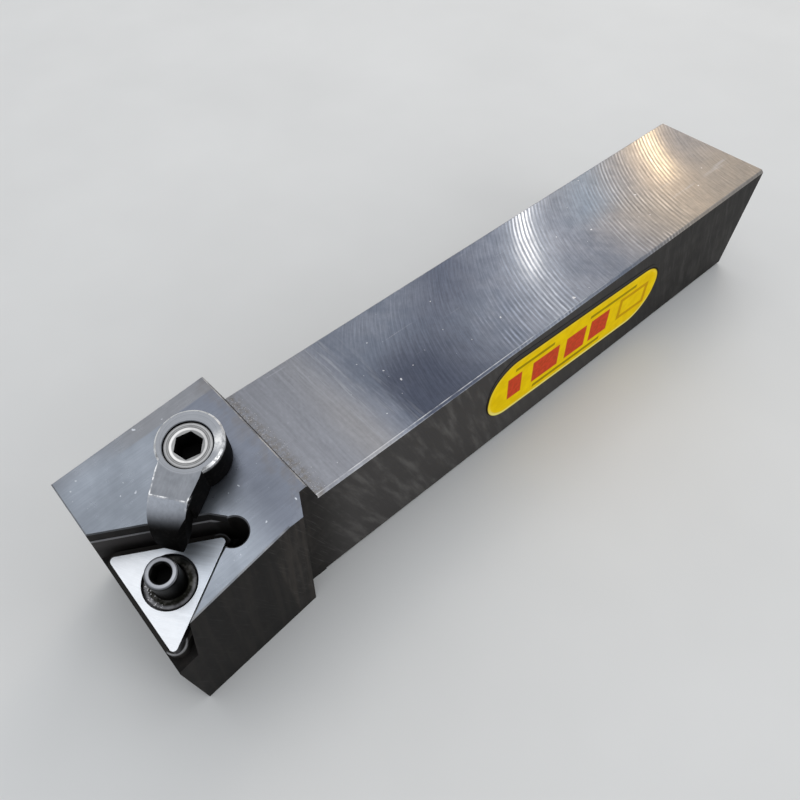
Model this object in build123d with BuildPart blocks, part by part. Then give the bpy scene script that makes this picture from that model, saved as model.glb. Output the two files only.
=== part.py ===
from build123d import *
import math
import os

# Right-hand facing tool holder with a lock pin and a hook clamp.
# +Y runs from the cutting end to the shank's rear end, +X to the side the cutting corner
# stands out on, +Z up. The origin is at the middle of the bounding box, on the resting face.
# All sizes are millimetres and degrees.

os.makedirs("parts", exist_ok=True)

# ---- shank ----
shank_size = 25.4            # square section
overall_length = 151.5
overall_width = 30.5         # shank's left side to the head's right front corner
edge_break = 0.5             # milled chamfer on the long edges
top_edge_break = 0.2         # the head top's edges, stoned off

# ---- head ----
head_length = 30.15          # front face to where the rear shoulder meets the shank's top
shoulder_lean = 19.0         # shoulder leans forward from upright
shoulder_fillet = 0.8
side_length = 25.4           # the slanted right side, front face to its rear end
side_start_out = 2.95        # how far it stands out of the shank there
step_length = 27.05          # front face to where the step leaves the shank's side
front_lean_start_z = 15.5    # below this the front face slopes back
front_lean_back = 1.8
head_blank_z = 40.0          # stock height before the top is milled off
facet_run = 4.4              # small facet at the top of the side's rear end
facet_back = 0.75
facet_in = 1.35
facet_drop = 1.1
facet_top_z = 29.85
facet_oversize = 1.6         # the facet's cutter, past the facet's own corners

# ---- tilted seat ----
side_rake = 6.7
back_rake = 6.6
pin_from_corner = 9.78             # pin's axis on the pad, in from the cutting corner's side
pin_from_front = 6.1
pin_foot_z = 20.49
head_top_w = 7.63                  # head top above the pad, along the seat's normal
wall_distance = 7.1                # pocket walls from the pin's axis
ledge_width = 0.2                  # the rear wall's lower part stands this much further in
ledge_w = 5.0                      # height of that ledge above the pad
wall_end_x = -2.45                 # where the straight rear wall ends, in the seat's own X
cusp_at = (-0.3, 11.75)            # point left between the rear wall and the relief hole
pocket_reach = 14.0                # pocket cut this far forward of the pin, past the front face
nose_wall_air = 0.5                # air between the clamp's nose and the rear wall
groove_depth = 2.5                 # pocket floor below the pad
pad_front = 6.1                    # pad edges from the pin's axis
pad_right = 5.75
pad_rear = 6.67
pad_corner_radius = 1.8
relief_radius = 2.25
relief_depth = 6.5
relief_at = (2.1, 11.23)
seat_half_angle = 30.0             # walls lie this far off the seat's own Y axis

# ---- shim ----
shim_inradius = 5.25
shim_thickness = 1.95
shim_corner_radius = 0.65
shim_bore_radius = 2.9
shim_sink_radius = 4.25
shim_sink_depth = 1.25

# ---- lock pin ----
pin_radius = 2.49
pin_top_w = 6.85
pin_rim_chamfer = 0.4
pin_flange_radius = 3.9
pin_flange_gap = 0.04
pin_flange_thickness = 0.85
pin_root_fillet = 0.45
pin_shank_radius = 2.35
pin_shank_length = 11.0
pin_sink_radius = 1.68             # round lead-in to the hexagon
pin_hex_flats = 2.8
pin_hex_depth = 3.2
pin_hex_turn = 12
shaft_clearance = 0.06             # radial running clearance of a shaft in its hole

# ---- clamp ----
boss_foot = (-10.36, 13.89)        # boss centre in the seat's own X and Y
clamp_gap = 0.3                    # air under the clamp
clamp_height = 6.35                # clamp top above the head top
boss_radius = 5.12
boss_rim_break = 0.35
arm_half_width_root = 3.25
arm_half_width_crease = 2.8
crease_reach = 8.85                # where the flat top ends and the nose begins
nose_tip_drop = 3.4                # nose tip below the head top
nose_tip_reach = 13.45
nose_knee = (11.25, 4.35)          # nose front, on its way down: reach and height
nose_face = (12.95, 1.15)
nose_face_end_rise = 0.9           # end of the front curve above the tip
nose_back_knee = (10.35, -0.9)
nose_back_reach = 11.2
nose_back_rise = 0.35
nose_sole_reach = 12.5
nose_sole_bulge = 0.15
arm_end_reach = 9.0                # where the arm's flat underside ends
tongue_half_widths = ((4.9, 2.82), (1.4, 2.4), (-0.9, 2.22), (-2.7, 1.55))  # height, half width
nose_facet_at = (12.9, 1.63, 0.0)  # a point on the facet along the nose's right edge
nose_facet_normal = (0.8, 1.0, 0.12)
screw_offset = 0.55                # screw bore forward of the boss centre
bore_chamfer = 0.1

# ---- clamp screw ----
screw_radius = 3.66
screw_below_boss = 0.25
screw_rim_chamfer = 0.15
screw_length = 22.0
screw_hex_flats = 3.85
screw_hex_depth = 4.0
screw_hex_turn = 9.7
screw_sink_radius = 2.85
screw_sink_slope = 10.0            # of the shallow dish round the socket, from flat
screw_hole_depth = 18.5

# ---- label ----
label_length = 50.8
label_height = 15.5
label_corner_radius = 6.8
label_thickness = 0.12
label_from_rear = 57.35            # label's centre from the shank's rear end
label_centre_z = 14.6
label_tilt = -3.6

# Derived places
shank_left_x = -overall_width / 2
shank_right_x = shank_left_x + shank_size
shank_x = shank_left_x + shank_size / 2
front_y = -overall_length / 2
rear_y = overall_length / 2
corner_x = overall_width / 2
shoulder_root_y = front_y + head_length
side_start_y = front_y + side_length
step_y = front_y + step_length
side_start_x = shank_right_x + side_start_out

side_slope = math.tan(math.radians(side_rake))
back_slope = math.tan(math.radians(back_rake))
pin_foot = (corner_x - pin_from_corner, front_y + pin_from_front, pin_foot_z)
seat = Plane(origin=pin_foot, x_dir=(1, 0, -side_slope), z_dir=(side_slope, -back_slope, 1))

cos_wall = math.cos(math.radians(seat_half_angle))
sin_wall = math.sin(math.radians(seat_half_angle))


def meet(right, rear):
    """Corner of the right and rear edges that stand these distances from the pin's axis."""
    return ((right - rear) / (2 * cos_wall), (right + rear) / (2 * sin_wall))


def front_right(right, front):
    """Corner of the right and front edges."""
    return ((right + sin_wall * front) / cos_wall, -front)


def front_left(rear, front):
    """Corner of the rear and front edges."""
    return (-(rear + sin_wall * front) / cos_wall, -front)


def pocket_points(rear):
    """Outline of the pocket with its rear wall this far from the pin's axis."""
    wall_end_y = (rear + wall_end_x * cos_wall) / sin_wall
    right_x = relief_at[0] + relief_radius * cos_wall * cos_wall
    right_y = (wall_distance - right_x * cos_wall) / sin_wall
    return [
        front_left(rear, pocket_reach),
        (wall_end_x, wall_end_y),
        cusp_at,
        relief_at,
        (right_x, right_y),
        front_right(wall_distance, pocket_reach),
    ]


# Arm direction: from the boss centre straight to the pin's axis
boss_origin = seat.from_local_coords((boss_foot[0], boss_foot[1], head_top_w))
arm_dir = seat.from_local_coords((0, 0, head_top_w)) - boss_origin
clamp_plane = Plane(origin=boss_origin, x_dir=arm_dir, z_dir=seat.z_dir)
screw_origin = clamp_plane.from_local_coords((screw_offset, 0, 0))
screw_plane = Plane(origin=screw_origin, x_dir=arm_dir, z_dir=seat.z_dir)
clamp_side = Plane(origin=boss_origin, x_dir=clamp_plane.x_dir, z_dir=-clamp_plane.y_dir)

# ---- holder body: shank, head, pocket ----
with BuildPart() as holder:
    with BuildSketch(Plane.XY):
        with Locations((shank_x, (rear_y + step_y) / 2)):
            Rectangle(shank_size, rear_y - step_y)
    extrude(amount=shank_size)
    # Long edges of the shank, broken with a small chamfer
    long_edges = holder.edges().filter_by(Axis.Y)
    chamfer(long_edges, length=edge_break)
    # Head blank: offset to the right along a slanted side, stepped out from the shank
    with BuildSketch(Plane.XY):
        with BuildLine():
            Polyline(
                (shank_left_x, shoulder_root_y),
                (shank_left_x, front_y),
                (corner_x, front_y),
                (side_start_x, side_start_y),
                (shank_right_x, step_y),
                (shank_right_x, shoulder_root_y),
                close=True,
            )
        make_face()
    extrude(amount=head_blank_z)
    # The leaning rear shoulder, cut across the full width
    lean_run = (head_blank_z - shank_size) * math.tan(math.radians(shoulder_lean))
    with BuildSketch(Plane.YZ.offset(shank_left_x - 1)):
        with BuildLine():
            Polyline(
                (shoulder_root_y, shank_size),
                (shoulder_root_y - lean_run, head_blank_z),
                (shoulder_root_y + 5, head_blank_z),
                (shoulder_root_y + 5, shank_size),
                close=True,
            )
        make_face()
    extrude(amount=overall_width + 2, mode=Mode.SUBTRACT)
    shoulder_root = holder.edges().filter_by(Axis.X).filter_by_position(
        Axis.Y, shoulder_root_y - 0.01, shoulder_root_y + 0.01).sort_by(Axis.Z)[-1]
    fillet(shoulder_root, shoulder_fillet)
    # The head's top is one milled plane, parallel to the seat
    with BuildSketch(seat.offset(head_top_w)):
        Rectangle(120, 120)
    extrude(amount=30, mode=Mode.SUBTRACT)
    # Clearance below the cutting edge: the front face slopes back to the bottom
    with BuildSketch(Plane.YZ.offset(shank_left_x - 1)):
        with BuildLine():
            Polyline(
                (front_y, front_lean_start_z),
                (front_y + front_lean_back, 0),
                (front_y - 1, 0),
                (front_y - 1, front_lean_start_z),
                close=True,
            )
        make_face()
    extrude(amount=overall_width + 2, mode=Mode.SUBTRACT)
    # Small triangular facet where the top, the slanted side and the step meet
    side_lean = (corner_x - side_start_x) / (side_start_y - front_y)
    facet_a = Vector(side_start_x - facet_in, side_start_y + facet_back, facet_top_z)
    facet_b = Vector(side_start_x + facet_run * side_lean, side_start_y - facet_run,
                     facet_top_z - facet_drop / 2)
    facet_c = Vector(side_start_x, side_start_y, facet_top_z - facet_drop)
    facet_normal = (facet_b - facet_a).cross(facet_c - facet_a)
    facet_middle = (facet_a + facet_b + facet_c) / 3
    facet_plane = Plane(origin=facet_middle, z_dir=facet_normal)
    facet_outline = [facet_plane.to_local_coords(corner) * facet_oversize
                     for corner in (facet_a, facet_b, facet_c)]
    with BuildSketch(facet_plane):
        with BuildLine():
            Polyline(*facet_outline, close=True)
        make_face()
    extrude(amount=facet_run, mode=Mode.SUBTRACT)
    # Insert pocket, cut down to the groove's floor; above the ledge the rear wall stands back
    with BuildSketch(seat.offset(-groove_depth)):
        with BuildLine():
            Polyline(*pocket_points(wall_distance - ledge_width), close=True)
        make_face()
        with Locations(relief_at):
            Circle(relief_radius)
    extrude(amount=head_blank_z, mode=Mode.SUBTRACT)
    with BuildSketch(seat.offset(ledge_w)):
        with BuildLine():
            Polyline(*pocket_points(wall_distance), close=True)
        make_face()
    extrude(amount=head_blank_z, mode=Mode.SUBTRACT)
    # The pad stands back up from the groove's floor
    with BuildSketch(seat.offset(-groove_depth)) as pad:
        with BuildLine():
            Polyline(
                front_left(pad_rear, pad_front),
                front_right(pad_right, pad_front),
                meet(pad_right, pad_rear),
                close=True,
            )
        make_face()
        fillet(pad.vertices(), pad_corner_radius)
    extrude(amount=groove_depth)
    # Relief hole in the pocket's corner
    with BuildSketch(seat.offset(-relief_depth)):
        with Locations(relief_at):
            Circle(relief_radius)
    extrude(amount=relief_depth, mode=Mode.SUBTRACT)
    # Stone off the head top's outer edges: front, left, shoulder and slanted side
    top_edges = holder.faces().filter_by(seat).sort_by(Axis(pin_foot, seat.z_dir))[-1].edges()
    outer_edges = [
        top_edges.sort_by(Axis.Y)[0],
        top_edges.sort_by(Axis.X)[0],
        top_edges.sort_by(Axis.Y)[-1],
        top_edges.sort_by(Axis.X)[-1],
    ]
    chamfer(outer_edges, length=top_edge_break)
    # The same break round the pocket and the relief hole, cut as shallow flared outlines
    break_plane = seat.offset(head_top_w - top_edge_break)
    with BuildSketch(break_plane):
        with BuildLine():
            Polyline(*pocket_points(wall_distance), close=True)
        make_face()
    extrude(amount=2 * top_edge_break, taper=-45, mode=Mode.SUBTRACT)
    with BuildSketch(break_plane):
        with Locations(relief_at):
            Circle(relief_radius)
    extrude(amount=2 * top_edge_break, taper=-45, mode=Mode.SUBTRACT)
    # Holes for the lock pin and the clamp screw
    with Locations(seat):
        Hole(pin_shank_radius + shaft_clearance, depth=pin_shank_length + 1)
    with Locations(screw_plane):
        Hole(screw_radius + shaft_clearance, depth=screw_hole_depth)
holder.part.label = "holder_body"

# ---- shim ----
with BuildPart() as shim:
    with BuildSketch(seat) as shim_face:
        with BuildLine():
            Polyline(
                front_left(shim_inradius, shim_inradius),
                front_right(shim_inradius, shim_inradius),
                meet(shim_inradius, shim_inradius),
                close=True,
            )
        make_face()
        fillet(shim_face.vertices(), shim_corner_radius)
        Circle(shim_bore_radius, mode=Mode.SUBTRACT)
    extrude(amount=shim_thickness)
    with BuildSketch(seat.offset(shim_thickness)):
        Circle(shim_sink_radius)
    extrude(amount=-shim_sink_depth, mode=Mode.SUBTRACT)
shim.part.label = "shim"

# ---- lock pin ----
flange_w = shim_thickness - shim_sink_depth + pin_flange_gap
flange_plane = seat.offset(flange_w)
with BuildPart() as lock_pin:
    with BuildSketch(seat.offset(-pin_shank_length)):
        Circle(pin_shank_radius)
    extrude(amount=pin_shank_length + flange_w)
    with BuildSketch(flange_plane):
        Circle(pin_flange_radius)
    extrude(amount=pin_flange_thickness)
    with BuildSketch(flange_plane):
        Circle(pin_radius)
    extrude(amount=pin_top_w - flange_w)
    top_rim = lock_pin.faces().filter_by(Plane(origin=pin_foot, z_dir=seat.z_dir)).sort_by(
        Axis(pin_foot, seat.z_dir))[-1].edges()
    chamfer(top_rim, length=pin_rim_chamfer)
    flange_top = lock_pin.faces().filter_by(seat).sort_by(Axis(pin_foot, seat.z_dir))[-2]
    fillet(flange_top.edges().sort_by(SortBy.LENGTH)[0], pin_root_fillet)
    with BuildSketch(seat.offset(pin_top_w)):
        Circle(pin_sink_radius)
    extrude(amount=-(pin_sink_radius - pin_hex_flats / 2), taper=45, mode=Mode.SUBTRACT)
    with BuildSketch(seat.offset(pin_top_w)):
        RegularPolygon(pin_hex_flats / 2, 6, major_radius=False, rotation=pin_hex_turn)
    extrude(amount=-pin_hex_depth, mode=Mode.SUBTRACT)
lock_pin.part.label = "lock_pin"

# ---- clamp ----
# Side profile of arm and nose, in the plane through the screw and the pin:
# flat top to the crease, then a nose that curves over and dives past the pocket's rear wall.
with BuildPart() as clamp:
    with BuildSketch(clamp_side):
        with BuildLine():
            nose_front = Spline(
                (crease_reach, clamp_height),
                nose_knee,
                nose_face,
                (nose_tip_reach, nose_face_end_rise - nose_tip_drop),
                tangents=[(1.0, -0.75), (0.12, -1.0)],
            )
            Line(nose_front @ 0, (0, clamp_height))
            Line((0, clamp_height), (0, clamp_gap))
            Line((0, clamp_gap), (arm_end_reach, clamp_gap))
            nose_back = Spline(
                (arm_end_reach, clamp_gap),
                nose_back_knee,
                (nose_back_reach, nose_back_rise - nose_tip_drop),
                tangents=[(1.0, -0.25), (0.35, -1.0)],
            )
            Spline(
                nose_back @ 1,
                (nose_sole_reach, -nose_tip_drop - nose_sole_bulge),
                nose_front @ 1,
            )
        make_face()
    extrude(amount=arm_half_width_root, both=True)
    # Seen from the front the nose is a tongue that narrows to a rounded tip
    tongue_plane = Plane(
        origin=clamp_plane.from_local_coords((arm_end_reach, 0, 0)),
        x_dir=clamp_plane.y_dir,
        z_dir=clamp_plane.x_dir,
    )
    tongue_top = clamp_height + clamp_gap
    tongue_tip = -nose_tip_drop - nose_sole_bulge
    tongue_left = [(-arm_half_width_crease, tongue_top)]
    tongue_right = [(arm_half_width_crease, tongue_top)]
    for height, half_width in tongue_half_widths:
        tongue_left.append((-half_width, height))
        tongue_right.append((half_width, height))
    with BuildSketch(tongue_plane):
        with BuildLine():
            tongue = Spline(*tongue_left, (0, tongue_tip), *reversed(tongue_right))
            Polyline(
                tongue @ 1,
                (boss_radius, tongue_top),
                (boss_radius, 2 * tongue_tip),
                (-boss_radius, 2 * tongue_tip),
                (-boss_radius, tongue_top),
                tongue @ 0,
            )
        make_face()
    extrude(amount=boss_radius * 2, mode=Mode.SUBTRACT)
    # Long facet down the nose's right front edge
    facet_origin = clamp_plane.from_local_coords(nose_facet_at)
    facet_ahead = clamp_plane.from_local_coords(
        tuple(place + slope for place, slope in zip(nose_facet_at, nose_facet_normal)))
    with BuildSketch(Plane(origin=facet_origin, z_dir=facet_ahead - facet_origin)):
        Rectangle(4 * boss_radius, 4 * boss_radius)
    extrude(amount=boss_radius, mode=Mode.SUBTRACT)
    # The nose's back is milled parallel to the pocket's rear wall, clear of it
    nose_limit = wall_distance - nose_wall_air
    with BuildSketch(seat.offset(head_top_w + clamp_gap)):
        with BuildLine():
            Polyline(
                front_left(nose_limit, 2 * wall_distance),
                meet(wall_distance, nose_limit),
                meet(wall_distance, 4 * wall_distance),
                front_left(4 * wall_distance, 2 * wall_distance),
                close=True,
            )
        make_face()
    extrude(amount=-head_top_w, mode=Mode.SUBTRACT)
    # The arm tapers a little from the boss to the crease
    for side in (1, -1):
        with BuildSketch(clamp_plane.offset(clamp_gap)):
            with BuildLine():
                Polyline(
                    (0, side * arm_half_width_root),
                    (boss_radius, side * arm_half_width_root),
                    (arm_end_reach, side * arm_half_width_crease),
                    (arm_end_reach, side * boss_radius),
                    (0, side * boss_radius),
                    close=True,
                )
            make_face()
        extrude(amount=clamp_height, mode=Mode.SUBTRACT)
    # Boss, and the bore the screw turns in
    with BuildSketch(clamp_plane.offset(clamp_gap)):
        Circle(boss_radius)
    extrude(amount=clamp_height - clamp_gap - boss_rim_break)
    with BuildSketch(clamp_plane.offset(clamp_height - boss_rim_break)):
        Circle(boss_radius)
    extrude(amount=boss_rim_break, taper=45)
    with BuildSketch(screw_plane.offset(clamp_gap)):
        Circle(screw_radius + shaft_clearance)
    extrude(amount=clamp_height, mode=Mode.SUBTRACT)
    with BuildSketch(screw_plane.offset(clamp_height - bore_chamfer)):
        Circle(screw_radius + shaft_clearance)
    extrude(amount=bore_chamfer, taper=-45, mode=Mode.SUBTRACT)
clamp.part.label = "clamp"

# ---- clamp screw ----
screw_top = clamp_height - screw_below_boss
with BuildPart() as clamp_screw:
    with BuildSketch(screw_plane.offset(screw_top - screw_length)):
        Circle(screw_radius)
    extrude(amount=screw_length)
    rims = clamp_screw.edges().filter_by(GeomType.CIRCLE)
    chamfer(rims, length=screw_rim_chamfer)
    # A shallow dish round the socket, then the hexagon
    dish_depth = (screw_sink_radius - screw_hex_flats / 2) * math.tan(math.radians(screw_sink_slope))
    with BuildSketch(screw_plane.offset(screw_top)):
        Circle(screw_sink_radius)
    extrude(amount=-dish_depth, taper=90 - screw_sink_slope, mode=Mode.SUBTRACT)
    with BuildSketch(screw_plane.offset(screw_top)):
        RegularPolygon(screw_hex_flats / 2, 6, major_radius=False, rotation=screw_hex_turn)
    extrude(amount=-screw_hex_depth, mode=Mode.SUBTRACT)
clamp_screw.part.label = "clamp_screw"

# ---- label ----
with BuildPart() as label:
    label_centre = (shank_right_x, rear_y - label_from_rear, label_centre_z)
    with BuildSketch(Plane(origin=label_centre, x_dir=(0, 1, 0), z_dir=(1, 0, 0))):
        with Locations(Location((0, 0, 0), (0, 0, label_tilt))):
            RectangleRounded(label_length, label_height, label_corner_radius)
    extrude(amount=label_thickness)
label.part.label = "label"

export_step(holder.part, "parts/holder_body.step")
export_step(shim.part, "parts/shim.step")
export_step(lock_pin.part, "parts/lock_pin.step")
export_step(clamp.part, "parts/clamp.step")
export_step(clamp_screw.part, "parts/clamp_screw.step")
export_step(label.part, "parts/label.step")

for piece in (holder, shim, lock_pin, clamp, clamp_screw, label):
    print(piece.part.label, len(piece.part.solids()), round(piece.part.volume, 1))
    print(piece.part.bounding_box())
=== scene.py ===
# %% [markdown]
# # A turning tool holder, dressed for the camera
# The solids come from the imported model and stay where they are: a square steel shank, an offset head
# with a tilted pocket, a ground shim, a lock pin, a hook clamp and its screw, and a yellow sticker.
# This notebook gives each of them the finish of the real thing, adds the thread and the swarf dust that
# were too fine for the solids, and sets up a plain studio.

# %% Load the frame
import math
import bmesh
import bpy
from mathutils import Matrix, Vector


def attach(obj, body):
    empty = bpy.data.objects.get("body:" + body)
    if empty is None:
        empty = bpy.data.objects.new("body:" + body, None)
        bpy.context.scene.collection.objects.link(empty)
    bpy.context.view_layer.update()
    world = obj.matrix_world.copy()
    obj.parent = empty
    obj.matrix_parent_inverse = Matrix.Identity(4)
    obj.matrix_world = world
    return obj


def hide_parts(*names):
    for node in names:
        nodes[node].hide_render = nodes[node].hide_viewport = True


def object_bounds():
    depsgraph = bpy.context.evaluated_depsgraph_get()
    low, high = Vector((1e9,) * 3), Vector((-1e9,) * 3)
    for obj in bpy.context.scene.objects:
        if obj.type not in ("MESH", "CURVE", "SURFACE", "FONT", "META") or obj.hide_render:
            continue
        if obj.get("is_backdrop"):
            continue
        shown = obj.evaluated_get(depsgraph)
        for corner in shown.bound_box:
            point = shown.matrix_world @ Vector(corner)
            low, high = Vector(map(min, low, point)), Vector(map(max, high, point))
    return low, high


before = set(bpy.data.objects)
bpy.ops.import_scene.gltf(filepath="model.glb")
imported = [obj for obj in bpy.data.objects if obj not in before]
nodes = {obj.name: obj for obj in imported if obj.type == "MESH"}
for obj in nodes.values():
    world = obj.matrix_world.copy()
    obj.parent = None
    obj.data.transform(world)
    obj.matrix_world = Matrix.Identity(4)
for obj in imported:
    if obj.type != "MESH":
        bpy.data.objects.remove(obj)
cad_box = [list(corner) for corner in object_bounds()]
print("nodes:", sorted(nodes))
print("box (mm):", [[round(v * 1000, 2) for v in corner] for corner in cad_box])

# %% [markdown]
# ## The seat's own frame
# Pocket, shim, pin, clamp and screw all stand on one tilted plane. Every pattern on them (grinding lines,
# turning rings) follows that plane, so it is worth having once, as a matrix: its origin is where the
# pin's axis meets the seat pad, its Z is the seat's normal. The clamp's frame stands on the head's top
# with X towards the pin; the screw's axis lies a little off the boss's centre.

# %% Seat and clamp frames
MM = 0.001
SIDE_RAKE = math.radians(6.7)
BACK_RAKE = math.radians(6.6)
PIN_FOOT = Vector((5.47, -69.65, 20.49)) * MM
HEAD_TOP = 7.63 * MM
BOSS_PLACE = Vector((-10.36 * MM, 13.89 * MM, HEAD_TOP))
SCREW_OFFSET = 0.55 * MM


def frame_matrix(origin, x_axis, z_axis):
    """Matrix of a right-handed frame from its origin, its Z and a rough X."""
    z = z_axis.normalized()
    y = z.cross(x_axis).normalized()
    x = y.cross(z)
    rotation = Matrix((x, y, z)).transposed()
    return Matrix.Translation(origin) @ rotation.to_4x4()


seat_normal = Vector((math.tan(SIDE_RAKE), -math.tan(BACK_RAKE), 1.0)).normalized()
seat = frame_matrix(PIN_FOOT, Vector((1, 0, -math.tan(SIDE_RAKE))), seat_normal)
boss_foot = seat @ BOSS_PLACE
arm_direction = seat @ Vector((0, 0, HEAD_TOP)) - boss_foot
clamp_frame = frame_matrix(boss_foot, arm_direction, seat_normal)
screw_frame = frame_matrix(clamp_frame @ Vector((SCREW_OFFSET, 0, 0)), arm_direction, seat_normal)
print("seat normal", [round(v, 4) for v in seat_normal])

# %% [markdown]
# ## Camera
# A standard 36 mm wide sensor. The small shifts keep the picture's centre off the lens axis without
# turning the camera, as in a cropped picture.

# %% Camera
def add_object(name, data):
    """A new object, placed in the scene."""
    made = bpy.data.objects.new(name, data)
    bpy.context.scene.collection.objects.link(made)
    return made


camera_data = bpy.data.cameras.new("view")
camera_data.sensor_width = 36.0
camera_data.lens = 32.06
camera_data.shift_x = 0.0819
camera_data.shift_y = 0.0157
camera_data.clip_start = 0.01
camera = add_object("view", camera_data)
camera.location = Vector((56.768, -75.441, 118.521)) * MM
camera.rotation_euler = [math.radians(a) for a in (37.209, 2.516, 50.514)]
bpy.context.scene.camera = camera
bpy.context.scene.view_settings.view_transform = "Standard"
print("camera at (mm)", [round(v / MM, 1) for v in camera.location])

# %% [markdown]
# ## Building materials in short sentences
# Node trees get long when each node takes five lines. A small helper keeps one shader readable: every
# method adds one node and hands back its output socket, so sockets nest like ordinary expressions.

# %% A small helper for shader trees
class Finish:
    """One material being written. Numbers or sockets may be given wherever a value is expected."""

    def __init__(self, name, metallic, roughness, specular):
        self.material = bpy.data.materials.new(name)
        self.material.use_nodes = True
        self.tree = self.material.node_tree
        self.tree.nodes.clear()
        self.shader = self.new("ShaderNodeBsdfPrincipled")
        settings = (("Metallic", metallic), ("Roughness", roughness), ("Specular IOR Level", specular))
        for label, number in settings:
            self.shader.inputs[label].default_value = number
        output = self.new("ShaderNodeOutputMaterial")
        self.tree.links.new(self.shader.outputs[0], output.inputs["Surface"])
        coordinates = self.new("ShaderNodeTexCoord")
        self.object = coordinates.outputs["Object"]
        self.normal = coordinates.outputs["Normal"]

    def new(self, kind):
        """A new shader node."""
        return self.tree.nodes.new(kind)

    def put(self, value, socket):
        """Set a socket from a number, a colour or another socket."""
        if isinstance(value, bpy.types.NodeSocket):
            self.tree.links.new(value, socket)
        elif isinstance(value, (int, float)) or len(value) == len(socket.default_value):
            socket.default_value = value
        else:
            socket.default_value = (*value, 1.0)

    def local(self, matrix=None):
        """Object coordinates in millimetres, in a frame of our own."""
        mapping = self.new("ShaderNodeMapping")
        mapping.vector_type = "TEXTURE"
        if matrix is not None:
            mapping.inputs["Location"].default_value = matrix.to_translation()
            mapping.inputs["Rotation"].default_value = matrix.to_euler()
        mapping.inputs["Scale"].default_value = (MM, MM, MM)
        self.put(self.object, mapping.inputs["Vector"])
        return mapping.outputs[0]

    def split(self, vector):
        """X, Y and Z of a vector."""
        node = self.new("ShaderNodeSeparateXYZ")
        self.put(vector, node.inputs[0])
        return node.outputs[0], node.outputs[1], node.outputs[2]

    def join(self, x, y, z):
        """A vector from three numbers."""
        node = self.new("ShaderNodeCombineXYZ")
        for value, socket in zip((x, y, z), node.inputs):
            self.put(value, socket)
        return node.outputs[0]

    def math(self, operation, a, b=0.0):
        """One arithmetic step."""
        node = self.new("ShaderNodeMath")
        node.operation = operation
        self.put(a, node.inputs[0])
        self.put(b, node.inputs[1])
        return node.outputs[0]

    def times(self, a, b):
        """Product of two values; of two masks, where both are on."""
        return self.math("MULTIPLY", a, b)

    def plus(self, a, b):
        """Sum of two values."""
        return self.math("ADD", a, b)

    def minus(self, a, b):
        """The first value less the second."""
        return self.math("SUBTRACT", a, b)

    def larger(self, a, b):
        """The larger value; of two masks, where either is on."""
        return self.math("MAXIMUM", a, b)

    def distance(self, x, y):
        """Distance of a point of a plane from its origin."""
        return self.math("SQRT", self.plus(self.times(x, x), self.times(y, y)))

    def span(self, value, low, high, start=0.0, end=1.0):
        """Smooth rise from start to end while the value goes from low to high."""
        node = self.new("ShaderNodeMapRange")
        node.interpolation_type = "SMOOTHSTEP"
        for number, socket in zip((value, low, high, start, end), node.inputs):
            self.put(number, socket)
        return node.outputs[0]

    def bump(self, value, centre, half_width):
        """Soft hill: 1 at the centre, 0 at half_width on either side."""
        away = self.math("ABSOLUTE", self.minus(value, centre))
        return self.span(away, half_width, 0.0)

    def hill(self, x, y, at, radius):
        """Soft round hill about a point of a plane."""
        dx, dy = self.minus(x, at[0]), self.minus(y, at[1])
        return self.span(self.distance(dx, dy), radius, 0.0)

    def noise(self, vector, scale, detail=4.0, roughness=0.55):
        """Cloudy noise, 0 to 1."""
        node = self.new("ShaderNodeTexNoise")
        self.put(vector, node.inputs["Vector"])
        for label, number in (("Scale", scale), ("Detail", detail), ("Roughness", roughness)):
            node.inputs[label].default_value = number
        return node.outputs["Fac"]

    def streaks(self, vector, stretch, scale, detail=5.0):
        """Noise pulled out along an axis: brushed, ground and scratched metal."""
        node = self.new("ShaderNodeVectorMath")
        node.operation = "MULTIPLY"
        self.put(vector, node.inputs[0])
        self.put(stretch, node.inputs[1])
        return self.noise(node.outputs[0], scale, detail, 0.6)

    def mix(self, factor, a, b):
        """Blend two colours; the Mix node keeps its colours at inputs 6 and 7 and output 2."""
        node = self.new("ShaderNodeMix")
        node.data_type = "RGBA"
        self.put(factor, node.inputs[0])
        self.put(a, node.inputs[6])
        self.put(b, node.inputs[7])
        return node.outputs[2]

    def mix_value(self, factor, a, b):
        """Blend two numbers; the Mix node keeps these at inputs 2 and 3 and output 0."""
        node = self.new("ShaderNodeMix")
        node.data_type = "FLOAT"
        self.put(factor, node.inputs[0])
        self.put(a, node.inputs[2])
        self.put(b, node.inputs[3])
        return node.outputs[0]

    def lay(self, tone, colour, mask, strength):
        """Lay a colour over another where a mask is on."""
        return self.mix(self.times(mask, strength), tone, colour)

    def scale_colour(self, colour, amount):
        """Brighten or darken a colour by a number."""
        node = self.new("ShaderNodeVectorMath")
        node.operation = "SCALE"
        self.put(colour, node.inputs[0])
        self.put(amount, node.inputs["Scale"])
        return node.outputs[0]

    def vary(self, colour, noise, low, high):
        """Let a noise darken and brighten a colour between two amounts."""
        return self.scale_colour(colour, self.span(noise, 0.3, 0.7, low, high))

    def ramp(self, factor, stops):
        """Colours along a 0..1 value."""
        node = self.new("ShaderNodeValToRGB")
        self.put(factor, node.inputs[0])
        elements = node.color_ramp.elements
        for place, _ in stops[1:-1]:
            elements.new(place)
        for element, (place, colour) in zip(elements, stops):
            element.position = place
            element.color = (*colour, 1.0)
        return node.outputs[0]

    def relief(self, height, depth_mm, strength):
        """Fine bumps; several may be stacked by calling this again."""
        node = self.new("ShaderNodeBump")
        self.put(strength, node.inputs["Strength"])
        node.inputs["Distance"].default_value = depth_mm * MM
        self.put(height, node.inputs["Height"])
        previous = self.shader.inputs["Normal"].links
        if previous:
            self.put(previous[0].from_socket, node.inputs["Normal"])
        self.put(node.outputs[0], self.shader.inputs["Normal"])

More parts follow.
